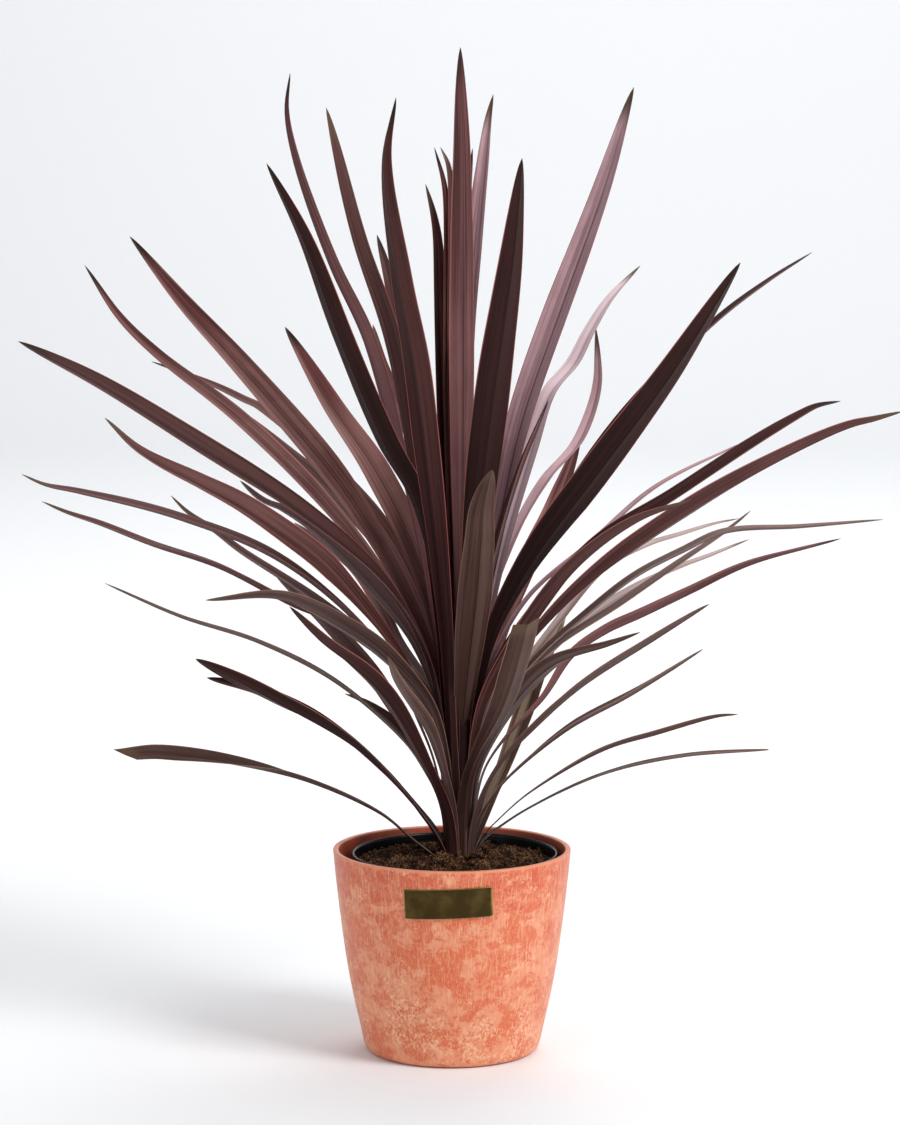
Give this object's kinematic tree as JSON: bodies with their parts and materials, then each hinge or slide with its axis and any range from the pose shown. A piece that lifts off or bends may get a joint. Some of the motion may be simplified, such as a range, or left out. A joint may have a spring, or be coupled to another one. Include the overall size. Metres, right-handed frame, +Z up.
{
  "type": "potted cordyline",
  "caption": "Potted red cordyline: rosette of long arching sword-shaped leaves on a short stem, in a grower's pot inside a tapered planter with a blank plate.",
  "frame": {"origin": "middle of the planter's flat foot, on the surface it stands on", "axes": "+Z up along the planter's axis, -Y towards the front, where the plate is, +X to the right of a viewer who faces the plate"},
  "size_m": [0.6611, 0.5826, 0.771],
  "materials": {
    "planter": "matte, mottled salmon and terracotta washes with fine vertical streaks",
    "grower_pot": "satin black, glossier beaded rim",
    "soil": "coarse dark peat with tan fibres",
    "plate": "dark satin brass with a bright edge, bare",
    "stem": "rough bark",
    "leaf": "satin burgundy-brown with fine lengthwise veins and thin pink-tan edges",
    "young_leaf": "satin dark burgundy with mauve-pink stripes"
  },
  "bodies": {
    "root": {"planter": "planter", "grower_pot": "grower_pot", "soil": "soil", "plate": "plate", "stem": "stem", "leaf_left_01": "leaf", "leaf_left_02": "leaf", "leaf_left_03": "leaf", "leaf_left_04": "leaf", "leaf_left_05": "leaf", "leaf_left_06": "leaf", "leaf_left_07": "leaf", "leaf_left_08": "leaf", "leaf_left_09": "leaf", "leaf_left_10": "leaf", "leaf_left_11": "leaf", "leaf_left_12": "leaf", "leaf_left_13": "leaf", "leaf_left_14": "leaf", "leaf_left_15": "leaf", "leaf_left_16": "leaf", "leaf_left_17": "leaf", "leaf_left_18": "leaf", "leaf_left_19": "leaf", "leaf_left_20": "leaf", "leaf_left_21": "leaf", "leaf_left_22": "leaf", "leaf_left_23": "leaf", "leaf_left_24": "leaf", "leaf_left_25": "leaf", "leaf_left_26": "leaf", "leaf_left_27": "leaf", "leaf_right_01": "leaf", "leaf_right_02": "leaf", "leaf_right_03": "leaf", "leaf_right_04": "leaf", "leaf_right_05": "leaf", "leaf_right_06": "leaf", "leaf_right_07": "leaf", "leaf_right_08": "leaf", "leaf_right_09": "leaf", "leaf_right_10": "leaf", "leaf_right_11": "leaf", "leaf_right_12": "leaf", "leaf_right_13": "leaf", "leaf_right_14": "leaf", "leaf_right_15": "leaf", "leaf_right_16": "leaf", "leaf_right_17": "leaf", "leaf_right_18": "leaf", "leaf_right_19": "leaf", "leaf_right_20": "leaf", "leaf_right_21": "leaf", "leaf_right_22": "leaf", "leaf_right_23": "leaf", "leaf_right_24": "leaf", "leaf_right_25": "leaf", "leaf_back_01": "leaf", "leaf_back_02": "leaf", "heart_leaves": "young_leaf"}
  },
  "joints": []
}
